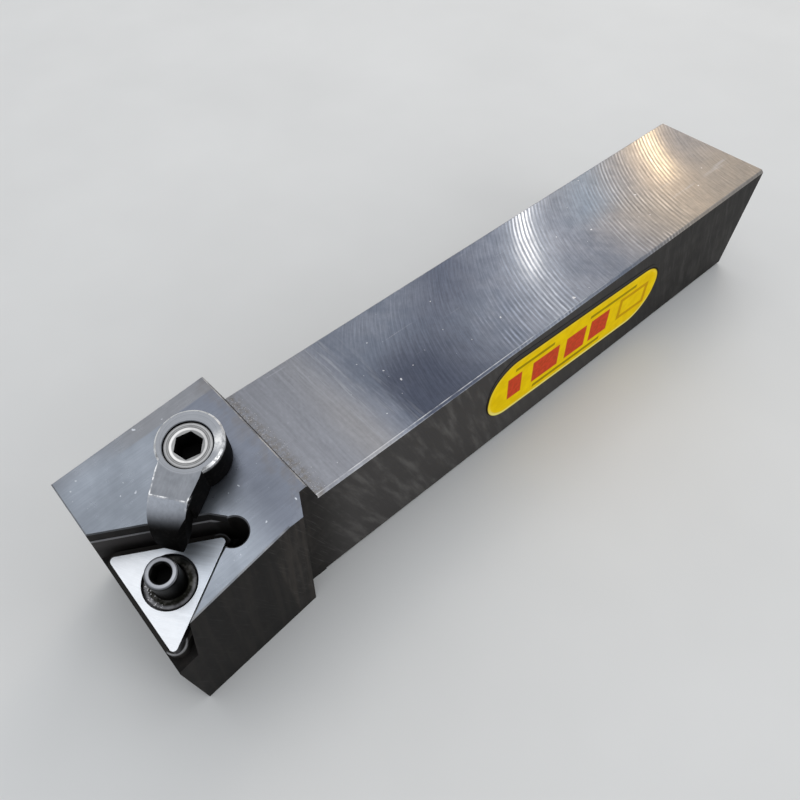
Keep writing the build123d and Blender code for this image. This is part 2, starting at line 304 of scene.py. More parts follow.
    def finish(self, colour, roughness=None, metallic=None):
        """Plug the results into the shader."""
        for label, value in (("Base Color", colour), ("Roughness", roughness), ("Metallic", metallic)):
            if value is not None:
                self.put(value, self.shader.inputs[label])
        return self.material


# %% [markdown]
# ## Holder body
# One bar of steel with two very different skins. The shank's top was milled after blacking, so it is bare
# satin steel with the cutter's round marks, and the head's top is a finer cut of the same steel. Every
# other face kept its brown-black oxide, and the outer edges are rubbed bare here and there and carry painted
# highlights. All of it is
# one node, so the shader tells the skins apart by the way a face points and by its place.

# %% Where the skins are
SHANK_TOP = 25.4
CHAMFER = 0.45
SHOULDER = -45.85
HEAD_RIM = 7.5


def skins(f):
    """Masks of the holder's skins: faces that look up and are bare, and the head among them."""
    y, z = f.split(f.local())[1:]
    nz = f.split(f.normal)[2]
    above_pad = f.split(f.local(seat))[2]
    out_of_pocket = f.larger(f.span(above_pad, HEAD_RIM - 0.3, HEAD_RIM - 0.1), f.span(y, -57.5, -56.5))
    bare = f.times(f.span(nz, 0.52, 0.72), out_of_pocket)
    corner = f.times(bare, f.span(nz, 0.955, 0.90))
    # Along the shank only the two edges of the chamfer are worn bright and carry painted highlights
    wear_and_highlight = f.larger(f.bump(z, SHANK_TOP - 0.04, 0.12), f.times(f.bump(z, SHANK_TOP - CHAMFER, 0.09), 0.4))
    corner = f.times(corner, f.larger(f.span(y, -45.0, -46.0), wear_and_highlight))
    on_head = f.span(y, -45.3, -45.9)
    return bare, corner, on_head


# %% [markdown]
# ### Cutter marks
# A face mill leaves arcs one feed apart. Counting along the shank plus the height of the arc gives a value
# that is the same along one mark; its sine is the mark. The marks wander and fade in patches, as a real
# cut does where the cutter rubbed or the surface was handled. Between them run hairlines: noise that is
# read along the arcs, so that it stretches into fine lines of the same sweep. Close to the head a file or
# a cloth went straight across instead. The painted highlight bands and the painted warm and cool reflections
# follow the arcs too: each has its place given as an arc, in millimetres, and the two in the middle lean a
# little against the cut.

# %% Milled shank
CUTTER_RADIUS = 47.0
CUTTER_CENTRE_X = 18.0
FEED = 0.98
BAND_LEAN = 0.18
# Where across the cut lie the painted sheen, the painted highlight band, the painted cool reflection, the
# painted warm reflection and its core
SHEEN_ARC, BAND_HIGHLIGHT_ARC, COOL_ARC, WARM_ARC, CORE_ARC = 60.0, 59.1, 80.0, 101.5, 103.0
STEEL_LOW, STEEL_HIGH = (0.135, 0.152, 0.190), (0.175, 0.190, 0.228)
STEEL_BY_HEAD, PALE_RUB = (0.232, 0.238, 0.262), (0.270, 0.262, 0.262)
# A painted warm reflection at the rear end
PAINTED_WARM_GLOW = (0.262, 0.240, 0.218)
DARK_PATCH, DARK_PATCH_TAIL = (0.046, 0.053, 0.078), (0.066, 0.074, 0.104)
# Painted sheen and highlight band, a painted cool reflection, and a painted warm reflection with its core
PAINTED_SHEEN, BAND_HIGHLIGHT, COOL_REFLECTION = (0.340, 0.365, 0.410), (0.70, 0.71, 0.74), (0.150, 0.198, 0.262)
WARM_REFLECTION, WARM_REFLECTION_CORE = (0.62, 0.50, 0.37), (0.84, 0.70, 0.50)


def cutter_marks(f, place):
    """The arc a point lies on, the wave there, and how strongly the marks show."""
    x, y = f.split(place)[:2]
    off = f.minus(x, CUTTER_CENTRE_X)
    reach = f.math("SQRT", f.minus(CUTTER_RADIUS ** 2, f.times(off, off)))
    arc = f.plus(y, reach)
    wander = f.times(f.noise(place, 0.22, 3.0), 2.2)
    wave = f.math("SINE", f.plus(f.times(arc, 2 * math.pi / FEED), wander))
    patch = f.span(f.noise(place, 0.17, 3.0), 0.38, 0.62, 0.25, 1.0)
    near_side = f.times(f.bump(y, 4.0, 13.0), f.span(x, -4.0, 3.0))
    middle = f.bump(f.plus(arc, f.times(x, BAND_LEAN)), BAND_HIGHLIGHT_ARC - 0.1, 10.0)
    far = f.times(f.span(arc, 76.0, 88.0), f.span(f.plus(y, x), 66.0, 50.0, 0.15, 1.0))
    faint = f.span(y, -32.0, -18.0, 0.04, 0.16)
    shown = f.larger(f.larger(near_side, middle), f.larger(far, faint))
    return arc, wave, f.times(shown, patch)


def milled_tone(f, place):
    """Bluish steel, a dark patch, painted highlight bands and painted warm and cool reflections; with it the
    wave and its strength.
    """
    x, y = f.split(place)[:2]
    arc, wave, shown = cutter_marks(f, place)
    cloud = f.noise(place, 0.12, 5.0, 0.6)
    fine = f.noise(place, 1.3, 6.0, 0.65)
    along_arc = f.join(arc, f.times(x, 0.07), 0.0)
    uneven = f.noise(along_arc, 0.8, 3.0, 0.6)
    hairlines = f.noise(along_arc, 3.2, 3.0, 0.7)
    tone = f.mix(f.span(cloud, 0.35, 0.65), STEEL_LOW, STEEL_HIGH)
    tone = f.mix(f.span(y, -25.0, -33.0), tone, STEEL_BY_HEAD)
    pale = f.times(f.bump(y, -32.5, 5.5), f.span(x, -11.0, 4.0, 0.35, 1.0))
    tone = f.lay(tone, PALE_RUB, pale, 0.55)
    # Painted warm reflection towards the rear end
    rear = f.times(f.span(y, 28.0, 50.0), f.span(x, -9.0, 5.0, 0.55, 1.0))
    tone = f.mix(rear, tone, PAINTED_WARM_GLOW)
    # Dark blue patch behind the head and its tail along the left side
    ragged = f.plus(y, f.times(f.streaks(place, (0.07, 1.0, 1.0), 1.4, 5.0), 10.0))
    patch = f.times(f.span(ragged, -23.0, -16.5), f.span(y, 5.0, -16.0))
    patch = f.times(patch, f.span(f.plus(x, f.times(cloud, 14.0)), -3.0, 9.0))
    tail = f.times(f.bump(f.plus(y, f.times(x, 0.8)), -7.0, 17.0), f.span(x, 2.0, -8.0))
    tone = f.lay(tone, DARK_PATCH, patch, 0.85)
    tone = f.lay(tone, DARK_PATCH_TAIL, tail, 0.65)
    # Painted highlights and painted warm and cool reflections, in bands that follow the cut
    band_place = f.plus(arc, f.times(x, BAND_LEAN))
    glow = f.times(f.bump(band_place, SHEEN_ARC, 11.0), f.span(x, 6.0, -4.0, 0.25, 0.55))
    tone = f.mix(glow, tone, PAINTED_SHEEN)
    band = f.times(f.bump(band_place, BAND_HIGHLIGHT_ARC, 4.4), f.span(x, 2.0, -6.0, 0.12, 1.0))
    lined = f.plus(wave, f.times(hairlines, 3.0))
    band = f.times(band, f.span(lined, 0.8, 2.2, 0.12, 0.94))
    tone = f.mix(band, tone, BAND_HIGHLIGHT)
    # A painted warm reflection with a brighter core towards the rear end
    warm = f.times(f.bump(arc, WARM_ARC, 11.0), f.span(x, 6.0, -5.0, 0.20, 0.75))
    tone = f.lay(tone, WARM_REFLECTION, warm, 0.7)
    core = f.times(f.bump(arc, CORE_ARC, 5.0), f.span(x, 1.0, -6.0))
    core = f.times(core, f.span(lined, 0.8, 2.2, 0.14, 0.90))
    tone = f.mix(core, tone, WARM_REFLECTION_CORE)
    # A painted cool reflection between the bands
    cool = f.times(f.bump(arc, COOL_ARC, 13.0), f.span(x, 0.0, -7.0))
    tone = f.lay(tone, COOL_REFLECTION, cool, 0.60)
    # The marks themselves, then rubbing and dirt over everything
    shown = f.times(shown, f.span(uneven, 0.34, 0.62, 0.35, 1.25))
    line = f.times(f.span(wave, -0.1, 1.0), shown)
    dark_line = f.times(f.span(wave, -0.2, -1.0), shown)
    tone = f.scale_colour(tone, f.plus(1.0, f.times(line, 0.60)))
    tone = f.scale_colour(tone, f.minus(1.0, f.times(dark_line, 0.28)))
    brushed = f.span(hairlines, 0.30, 0.70, 0.86, 1.14)
    crosswise = f.span(f.streaks(place, (0.06, 1.0, 1.0), 1.8, 4.0), 0.30, 0.70, 0.92, 1.08)
    tone = f.scale_colour(tone, f.mix_value(f.span(y, -27.0, -19.0), crosswise, brushed))
    return f.scale_colour(tone, f.span(fine, 0.25, 0.75, 0.94, 1.06)), wave, shown


# %% [markdown]
# ### Scratches and the head's top
# Scratches are noise stretched until it turns into hairs, then cut off so only the strongest remain.
# The head's top is one smooth plane; it gets broad, faint clouds, hair lines, a painted reflection and a
# painted shadow of the clamp, and a dark smudge.

# %% Scratches and head top
HEAD_LOW, HEAD_HIGH = (0.205, 0.226, 0.258), (0.250, 0.274, 0.312)
HEAD_LEFT, HEAD_REAR, HEAD_STRIP = (0.150, 0.152, 0.165), (0.138, 0.151, 0.184), (0.190, 0.194, 0.206)
HEAD_BROWN = (0.140, 0.130, 0.125)
# Centre, radius and brightness: a painted reflection of the clamp between clamp and relief hole, a painted
# shadow beside its arm, a dark smudge at the rear corner, lighter in front
SHADE_AND_SMUDGES = (((-0.5, 17.3), 7.0, 0.84), ((-2.4, 13.0), 4.0, 0.60),
           ((-22.3, 22.2), 1.8, 0.70), ((-20.5, -1.0), 7.0, 1.24))
HAIR_ACROSS, HAIR_ALONG = (0.32, 0.33, 0.355), (0.40, 0.41, 0.44)
NICK, SPECK = (0.62, 0.62, 0.64), (0.60, 0.63, 0.67)


def scratches(f, place, tone):
    """Hairs across the shank near the head, a few long ones along it, and light nicks."""
    y = f.split(place)[1]
    across = f.span(f.streaks(place, (0.07, 1.0, 1.0), 1.4, 5.0), 0.52, 0.68)
    across = f.times(across, f.bump(y, -29.5, 10.0))
    along = f.span(f.streaks(place, (1.0, 0.04, 1.0), 0.9, 3.0), 0.62, 0.70)
    along = f.times(along, f.span(f.noise(place, 0.08, 2.0), 0.52, 0.62))
    nick = f.span(f.noise(place, 0.9, 2.0, 0.4), 0.755, 0.775)
    tone = f.lay(tone, HAIR_ACROSS, across, 0.60)
    tone = f.lay(tone, HAIR_ALONG, along, 0.35)
    return f.lay(tone, NICK, nick, 0.7)


def head_tone(f):
    """Smooth bluish top of the head, darker to the left and rear, browned along the shoulder, with a painted
    reflection and a painted shadow of the clamp.
    """
    place = f.local(seat)
    x, y = f.split(place)[:2]
    cloud = f.noise(place, 0.10, 4.0, 0.5)
    tone = f.mix(f.span(cloud, 0.35, 0.65), HEAD_LOW, HEAD_HIGH)
    tone = f.mix(f.times(f.span(x, -18.0, -21.5), 0.4), tone, HEAD_LEFT)
    tone = f.mix(f.span(y, 10.5, 18.5, 0.0, 0.92), tone, HEAD_REAR)
    strip = f.times(f.span(x, -18.9, -19.2), f.span(y, 2.0, 10.0))
    tone = f.lay(tone, HEAD_STRIP, strip, 0.85)
    brown = f.times(f.span(y, 19.0, 22.0), f.span(f.noise(place, 0.45, 4.0), 0.35, 0.65))
    tone = f.lay(tone, HEAD_BROWN, brown, 0.45)
    for at, radius, amount in SHADE_AND_SMUDGES:
        tone = f.scale_colour(tone, f.mix_value(f.hill(x, y, at, radius), 1.0, amount))
    right_low = f.times(f.span(x, -1.0, 6.0), f.span(y, 13.0, 9.0))
    tone = f.scale_colour(tone, f.mix_value(right_low, 1.0, 1.13))
    hair = f.streaks(place, (1.3, 0.08, 1.0), 2.6)
    tone = f.vary(tone, hair, 0.95, 1.05)
    speck = f.span(f.noise(place, 1.5, 1.0, 0.3), 0.78, 0.81)
    return f.lay(tone, SPECK, speck, 0.6)


# %% [markdown]
# ### Blacked skin and the finished shader
# Oxide on machined steel is nearly black with a brown cast. It scuffs to grey where the holder has been
# slid into a tool post, which shows as soft smears that run down the side. In the pocket it stays black;
# the ledge of the rear wall and the rounded corners of the pad get painted highlights, and the wall
# darkens towards its foot as painted shade. A corner's painted highlight is a thin ring about the
# corner's own centre.

# %% Blacked skin
SOOT = ((0.32, (0.0095, 0.0084, 0.0076)), (0.55, (0.0165, 0.0146, 0.0130)), (0.78, (0.0300, 0.0272, 0.0250)))
SIDE_GREY, SMEAR, SIDE_HAIR = (0.060, 0.056, 0.054), (0.098, 0.093, 0.088), (0.070, 0.066, 0.063)
HEAD_STREAK = (0.048, 0.040, 0.034)


def blacked_tone(f, place):
    """Brown-black oxide with slanted grey scuffs on the shank's side and upright streaks on the head."""
    x, y, z = f.split(place)
    tone = f.ramp(f.noise(place, 0.25, 6.0, 0.65), SOOT)
    on_side = f.times(f.span(y, -47.5, -38.0), f.span(y, 60.0, 5.0, 0.05, 1.0))
    tone = f.lay(tone, SIDE_GREY, on_side, 0.75)
    slanted = f.join(x, f.plus(y, f.times(z, 0.45)), z)
    smear = f.span(f.streaks(slanted, (1.0, 0.55, 0.10), 0.9, 6.0), 0.46, 0.72)
    where = f.times(f.span(y, -46.0, -38.0), f.span(y, 10.0, -14.0, 0.22, 1.0))
    tone = f.mix(f.times(smear, where), tone, SMEAR)
    hair = f.span(f.streaks(slanted, (1.0, 2.2, 0.12), 1.5, 5.0), 0.54, 0.72)
    tone = f.lay(tone, SIDE_HAIR, hair, 0.45)
    upright = f.span(f.streaks(place, (1.0, 0.9, 0.06), 0.8, 4.0), 0.42, 0.66)
    on_head = f.times(f.span(y, -47.0, -49.0), upright)
    return f.lay(tone, HEAD_STREAK, on_head, 0.5)


# %% Pocket
# The rear wall crosses the seat at 60 degrees: X and Y times these, one less the other, count towards it
WALL = (0.866, 0.5)
WALL_PLACE = -6.5
LEDGE_HEIGHT = 5.0
PAD_CORNER = 1.68
# Centre and brightness of the painted highlight rings at the pad's corners
PAD_CORNER_HIGHLIGHTS = (((7.04, -4.3), 0.42), ((-0.53, 8.82), 0.16))
POCKET_BLACK, BELOW_LEDGE = (0.0060, 0.0056, 0.0055), (0.050, 0.046, 0.046)
# A painted highlight on the ledge, and the pad's own brown
LEDGE_HIGHLIGHT, PAD = (0.30, 0.30, 0.31), (0.036, 0.033, 0.030)


def pocket_tone(f, tone):
    """Soot, a painted highlight on the ledge with grey-brown below it that darkens to painted shade at the
    foot, and a brown pad with painted highlight rings at its corners.
    """
    x, y, z = f.split(f.local(seat))
    nx, ny, nz = f.split(f.normal)
    inside = f.times(f.span(y, 13.8, 13.2), f.span(z, HEAD_RIM, HEAD_RIM - 0.2))
    inside = f.times(inside, f.span(x, -20.0, -19.0))
    facing = f.minus(f.times(x, WALL[0]), f.times(y, WALL[1]))
    turned_in = f.minus(f.times(nx, WALL[0]), f.times(ny, WALL[1]))
    on_wall = f.larger(f.span(turned_in, 0.65, 0.85), f.span(nz, 0.90, 0.96))
    behind = f.times(f.times(inside, on_wall), f.span(facing, WALL_PLACE, WALL_PLACE - 0.3))
    # Below the ledge the wall is grey-brown, darkening towards its foot as painted shade
    foot_shade = f.times(f.span(z, LEDGE_HEIGHT, LEDGE_HEIGHT - 0.1), f.span(z, 0.5, 3.5, 0.25, 1.0))
    lower = f.times(behind, foot_shade)
    tone = f.lay(tone, POCKET_BLACK, inside, 0.6)
    tone = f.lay(tone, BELOW_LEDGE, lower, 0.85)
    # A painted highlight along the ledge
    lit_ledge = f.times(behind, f.bump(z, LEDGE_HEIGHT, 0.16))
    tone = f.lay(tone, LEDGE_HIGHLIGHT, lit_ledge, 0.9)
    pad = f.times(f.times(inside, f.span(nz, 0.9, 0.97)), f.bump(z, 0.0, 0.3))
    tone = f.lay(tone, PAD, pad, 0.8)
    # Thin painted highlight rings round the pad's rounded corners
    for centre, shade in PAD_CORNER_HIGHLIGHTS:
        dx, dy = f.minus(x, centre[0]), f.minus(y, centre[1])
        reach = f.distance(dx, dy)
        outward = dx if centre[0] > 0 else dy
        rim = f.times(f.bump(reach, PAD_CORNER, 0.22), f.span(outward, 0.1, 0.7))
        rim = f.times(rim, f.bump(z, -0.1, 0.5))
        tone = f.mix(rim, tone, (shade, shade, shade * 1.02))
    return tone


# %% Holder steel
# Dust at the shoulder's root, rubbed edges with a painted highlight, the facet in painted shade
ROOT_GRIT, WORN_EDGE_HIGHLIGHT, FACET = (0.170, 0.155, 0.140), (0.44, 0.44, 0.45), (0.112, 0.123, 0.148)


def holder_steel():
    """Satin milled tops, rubbed corners, blacked sides."""
    f = Finish("holder_steel", 0.0, 0.5, 0.12)
    place = f.local()
    x, y = f.split(place)[:2]
    bare, corner, on_head = skins(f)
    shank, wave, shown = milled_tone(f, place)
    shank = scratches(f, place, shank)
    top = f.mix(on_head, shank, head_tone(f))

    # Dust packed along the shoulder's root
    root = f.times(f.span(y, -43.0, -45.0), f.span(y, -46.9, -46.2))
    grit = f.span(f.noise(place, 1.1, 5.0, 0.7), 0.38, 0.62)
    top = f.mix(f.times(f.times(root, grit), 0.75), top, ROOT_GRIT)

    # Rubbed edges with a painted highlight, patchy, fainter towards the rear
    edge_patches = f.span(f.noise(place, 0.35, 5.0, 0.65), 0.36, 0.60, 0.20, 1.0)
    edge_patches = f.times(edge_patches, f.span(y, 32.0, 8.0, 0.30, 1.0))
    top = f.mix(f.times(corner, edge_patches), top, WORN_EDGE_HIGHLIGHT)
    # The short facet at the head's right corner lies away from the light
    facet = f.times(corner, f.times(f.span(y, -54.5, -53.2), f.span(x, 10.6, 11.2)))
    top = f.mix(facet, top, FACET)
    colour = f.mix(bare, pocket_tone(f, blacked_tone(f, place)), top)

    grain = f.noise(place, 0.6, 5.0)
    rough_top = f.mix_value(on_head, f.span(grain, 0.3, 0.7, 0.39, 0.45), f.span(grain, 0.3, 0.7, 0.27, 0.33))
    rough = f.mix_value(bare, 0.62, rough_top)
    marks = f.times(f.times(wave, shown), f.minus(1.0, on_head))
    f.relief(f.times(marks, bare), 0.010, 0.5)
    f.relief(f.noise(place, 2.6, 5.0, 0.6), 0.008, 0.30)
    return f.finish(colour, rough, f.times(bare, 0.92))


def dress(node, material):
    """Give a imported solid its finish."""
    nodes[node].data.materials.clear()
    nodes[node].data.materials.append(material)
    print(node, "wears", material.name)


dress("holder_body", holder_steel())

# %% [markdown]
# ## Shim
# A ground seat plate, nearly white. The grinding wheel crossed it in wide arcs, so its lines are rings
# about a far-off point rather than straight streaks.

# %% Shim
GRIND_CENTRE = (-31.0, 43.0)
GRIND_PITCH = 0.36
SHIM_TOP = 1.9
GROUND_FRONT, GROUND_REAR, SHIM_WALL = (0.86, 0.88, 0.91), (0.67, 0.72, 0.79), (0.060, 0.060, 0.064)


def ground_shim():
    """Bright ground face with fine arcs; dark walls."""
    f = Finish("ground_shim", 0.9, 0.36, 0.3)
    place = f.local(seat)
    x, y, z = f.split(place)
    nz = f.split(f.normal)[2]
    dx = f.minus(x, GRIND_CENTRE[0])
    dy = f.minus(y, GRIND_CENTRE[1])
    ring = f.distance(dx, dy)
    turn = f.math("ARCTAN2", dy, dx)
    along_ring = f.join(f.math("DIVIDE", ring, GRIND_PITCH), f.times(turn, 4.0), 0.0)
    lines = f.noise(along_ring, 0.9, 3.0, 0.6)
    tone = f.mix(f.span(y, -4.0, 6.0), GROUND_FRONT, GROUND_REAR)
    tone = f.vary(tone, lines, 0.90, 1.05)
    tone = f.vary(tone, f.noise(place, 0.3, 3.0), 0.95, 1.03)
    top = f.times(f.span(nz, 0.80, 0.97), f.span(z, SHIM_TOP - 0.1, SHIM_TOP))
    tone = f.mix(top, SHIM_WALL, tone)
    f.relief(lines, 0.004, 0.5)
    return f.finish(tone, f.span(lines, 0.3, 0.7, 0.32, 0.44))


dress("shim", ground_shim())

# %% [markdown]
# ## Turned pieces
# The pin and the screw are turned on a lathe, then broached for a hexagon key. A lathed shape is a profile
# spun round an axis; a hexagon is the same thing with a radius that depends on the angle. So one helper
# makes both: rings of points, one ring per step of the profile, joined by quads.

# %% Lathe helper
TURNS = 96
SHARP_ANGLE = math.radians(28)


def hexagon(flats):
    """Radius of a hexagonal socket at any angle, with a corner at angle 0."""
    def radius(angle):
        step = math.radians(60)
        from_corner = (angle + step / 2) % step - step / 2
        return flats / 2 / math.cos(abs(from_corner) - step / 2)
    return radius


def rounded(radius, height, size, steps=4):
    """Profile of a rounded outer rim, from its top to its side."""
    places = [math.radians(90 - 90 * i / steps) for i in range(steps + 1)]
    return [(radius - size + size * math.cos(a), height - size + size * math.sin(a)) for a in places]


def turned_piece(name, matrix, socket, outside, materials):
    """Socket rows go from the bottom of the key hole up; outside rows from the rim down to the end."""
    mesh = bpy.data.meshes.new(name)
    build = bmesh.new()
    rows = []
    for radius, height in socket + outside:
        ring = []
        for i in range(TURNS):
            angle = 2 * math.pi * i / TURNS
            r = radius(angle) if callable(radius) else radius
            ring.append(build.verts.new(matrix @ Vector((r * math.cos(angle), r * math.sin(angle), height))))
        rows.append(ring)
    for number, (inner, outer) in enumerate(zip(rows, rows[1:])):
        for i in range(TURNS):
            j = (i + 1) % TURNS
            face = build.faces.new((inner[i], outer[i], outer[j], inner[j]))
            face.material_index = 1 if number < len(socket) - 1 else 0
    build.faces.new(rows[0]).material_index = 1
    build.faces.new(list(reversed(rows[-1])))
    bmesh.ops.recalc_face_normals(build, faces=build.faces)
    build.to_mesh(mesh)
    build.free()
    for material in materials:
        mesh.materials.append(material)
    mesh.shade_smooth()
    piece = add_object(name, mesh)
    mesh.set_sharp_from_angle(angle=SHARP_ANGLE)
    print(name, len(mesh.polygons), "faces")
    return piece


def turned_frame(matrix, key_turn):
    """The same frame counted in millimetres, turned so that a key hole's corner lies on its X."""
    return matrix @ Matrix.Scale(MM, 4) @ Matrix.Rotation(math.radians(key_turn), 4, "Z")


# %% [markdown]
# ### Finishes of the turned pieces
# A turned face carries fine rings round its axis. Distance from the axis drives them, and a few wider
# grooves are listed, each as a radius, a half width and a tone. A flange low down is oily round its
# root, darkened there by painted shade too, and has a painted highlight near its rim on one side. The key
# holes are deep, unlit and oily, so they get a black of
# their own.

# %% Turned steel and socket black
# Radius of the flange's painted highlight; oil with painted shade at its root; the highlight's tone and grit
FLANGE_HIGHLIGHT_RADIUS = 3.62
OIL_SHADE_LOW, OIL_SHADE_HIGH = (0.010, 0.010, 0.007), (0.075, 0.072, 0.066)
FLANGE_HIGHLIGHT, GRIT = (0.20, 0.20, 0.21), (0.50, 0.49, 0.50)
HOLE_TONES = ((0.3, (0.0016, 0.0015, 0.0015)), (0.7, (0.004, 0.0038, 0.0035)))


def turned_steel(name, matrix, face_tone, polished, polish_highlight_tone, wall, edge, lit, grooves=()):
    """Polished between two radii, with a painted highlight stronger on one side; ringed outside them; dark
    where a face stands up.
    """
    f = Finish(name, 0.9, 0.34, 0.3)
    place = f.local(matrix)
    x, y, z = f.split(place)
    nz = f.split(f.normal)[2]
    radius = f.distance(x, y)
    rings = f.noise(f.join(f.times(radius, 9.0), 0.0, 0.0), 1.0, 4.0, 0.6)
    cloud = f.noise(place, 0.9, 4.0, 0.6)
    tone = f.mix(f.span(cloud, 0.3, 0.7), face_tone, [c * 1.25 for c in face_tone])
    tone = f.vary(tone, rings, 0.78, 1.20)
    low, high = polished
    # The polished ring gets a painted highlight that fades towards one side
    polish_highlight = f.times(f.span(radius, low - 0.06, low + 0.06), f.span(radius, high + 0.06, high - 0.06))
    polish_highlight = f.times(polish_highlight, f.span(f.plus(f.minus(x, y), cloud), -2.6, 1.2, lit, 1.0))
    tone = f.lay(tone, polish_highlight_tone, polish_highlight, 0.85)
    for groove, half, shade in grooves:
        tone = f.mix(f.times(f.bump(radius, groove, half), 0.8), tone, (shade, shade, shade))
    # A flange low down holds oil and painted shade round its root, and carries a painted highlight towards
    # its rim on one side
    low_down = f.span(z, 3.0, 2.0)
    tone = f.mix(low_down, tone, f.mix(f.span(cloud, 0.42, 0.66), OIL_SHADE_LOW, OIL_SHADE_HIGH))
    rim = f.times(f.bump(radius, FLANGE_HIGHLIGHT_RADIUS, 0.42), f.span(f.minus(x, y), -4.5, 3.0, 0.15, 1.0))
    rim = f.times(rim, f.span(cloud, 0.35, 0.60, 0.55, 1.0))
    tone = f.mix(f.times(rim, low_down), tone, FLANGE_HIGHLIGHT)
    grit = f.times(f.span(f.noise(place, 4.0, 2.0), 0.60, 0.66), f.span(y, -2.2, -2.8))
    tone = f.mix(f.times(grit, low_down), tone, GRIT)
    tone = f.mix(f.span(nz, *edge), wall, tone)
    f.relief(rings, 0.004, 0.5)
    return f.finish(tone, f.span(rings, 0.3, 0.7, 0.28, 0.42))


def socket_black():
    """Oily black with painted shade inside a key hole."""
    f = Finish("socket_black", 0.0, 0.6, 0.1)
    return f.finish(f.ramp(f.noise(f.local(), 1.5, 4.0), HOLE_TONES))


hole_black = socket_black()

# %% Clamp screw
SCREW_TOP = 6.10
SCREW_END = SCREW_TOP - 22.0
SCREW_KEY = 3.85
SCREW_KEY_TURN = 9.7
SCREW_RADIUS = 3.63
CORE = 3.10
TIP_CHAMFER = 0.5
key_hole = hexagon(SCREW_KEY)
screw_steel = turned_steel(
    "screw_steel", screw_frame, face_tone=(0.24, 0.24, 0.24), polished=(2.42, 2.76),
    polish_highlight_tone=(0.74, 0.73, 0.72), wall=(0.014, 0.013, 0.012), edge=(0.35, 0.80), lit=0.9,
    grooves=((2.88, 0.09, 0.07), (3.10, 0.08, 0.10), (3.30, 0.14, 0.40)))
screw = turned_piece(
    "clamp_screw_turned", turned_frame(screw_frame, SCREW_KEY_TURN),
    [(key_hole, SCREW_TOP - 4.0), (key_hole, SCREW_TOP - 0.16),
     (lambda a: key_hole(a) + 0.05, SCREW_TOP - 0.12)],
    [(2.80, SCREW_TOP - 0.01), (2.88, SCREW_TOP)] + rounded(SCREW_RADIUS, SCREW_TOP, 0.16)
    + [(SCREW_RADIUS, 0.1), (CORE, -0.3), (CORE, SCREW_END + TIP_CHAMFER), (CORE - TIP_CHAMFER, SCREW_END)],
    [screw_steel, hole_black])
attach(screw, "screw")
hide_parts("clamp_screw")

# %% Lock pin
PIN_TOP = 6.85
PIN_END = -11.0
PIN_KEY = 2.8
PIN_KEY_TURN = 12
PIN_RADIUS = 2.49
STEM_RADIUS = 2.35
FLANGE_RADIUS = 3.9
FLANGE_FOOT = 0.74
FLANGE_TOP = FLANGE_FOOT + 0.85
FILLET = 0.45
pin_hole = hexagon(PIN_KEY)
pin_steel = turned_steel(
    "pin_steel", seat, face_tone=(0.150, 0.155, 0.168), polished=(1.75, 2.20),
    polish_highlight_tone=(0.44, 0.45, 0.48), wall=(0.016, 0.015, 0.013), edge=(0.30, 0.85), lit=0.25)
fillet_turns = [math.radians(180 + 90 * i / 4) for i in range(1, 4)]
pin = turned_piece(
    "lock_pin_turned", turned_frame(seat, PIN_KEY_TURN),
    [(pin_hole, PIN_TOP - 3.2), (pin_hole, PIN_TOP - 0.28), (1.66, PIN_TOP - 0.03)],
    [(1.70, PIN_TOP)] + rounded(PIN_RADIUS, PIN_TOP, 0.38)
    + [(PIN_RADIUS, FLANGE_TOP + FILLET)]
    + [(PIN_RADIUS + FILLET + FILLET * math.cos(a), FLANGE_TOP + FILLET + FILLET * math.sin(a))
       for a in fillet_turns]
    + [(PIN_RADIUS + FILLET, FLANGE_TOP), (FLANGE_RADIUS, FLANGE_TOP), (FLANGE_RADIUS, FLANGE_FOOT),
       (STEM_RADIUS, FLANGE_FOOT), (STEM_RADIUS, PIN_END)],
    [pin_steel, hole_black])
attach(pin, "pin")
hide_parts("lock_pin")

# %% [markdown]
# ### The thread
# A thread is a ridge that climbs round a core, so it is one small diamond swept along a spiral. Geometry
# Nodes draws the spiral from its pitch and height and sweeps the diamond along it; changing the pitch is
# one number. It can be seen between clamp and holder once the clamp is raised. Both trees of this scene
# end the same way: their result becomes plain faces that wear one material.

# %% Thread tree
def node_group(name, sockets):
    """An empty geometry tree with named inputs: {name: (kind, value)}."""
    tree = bpy.data.node_groups.new(name, "GeometryNodeTree")
    tree.interface.new_socket("Geometry", in_out="INPUT", socket_type="NodeSocketGeometry")
    for label, (kind, value) in sockets.items():
        socket = tree.interface.new_socket(label, in_out="INPUT", socket_type=kind)
        if value is not None:
            socket.default_value = value
    tree.interface.new_socket("Geometry", in_out="OUTPUT", socket_type="NodeSocketGeometry")
    return tree, tree.nodes.new("NodeGroupInput"), tree.nodes.new("NodeGroupOutput")


def hand_over(tree, geometry, given, result):
    """Make instances real, give everything the chosen material and pass it out."""
    new, link = tree.nodes.new, tree.links.new
    real = new("GeometryNodeRealizeInstances")
    link(geometry, real.inputs["Geometry"])
    paint = new("GeometryNodeSetMaterial")
    link(real.outputs["Geometry"], paint.inputs["Geometry"])
    link(given.outputs["Material"], paint.inputs["Material"])
    link(paint.outputs["Geometry"], result.inputs[0])


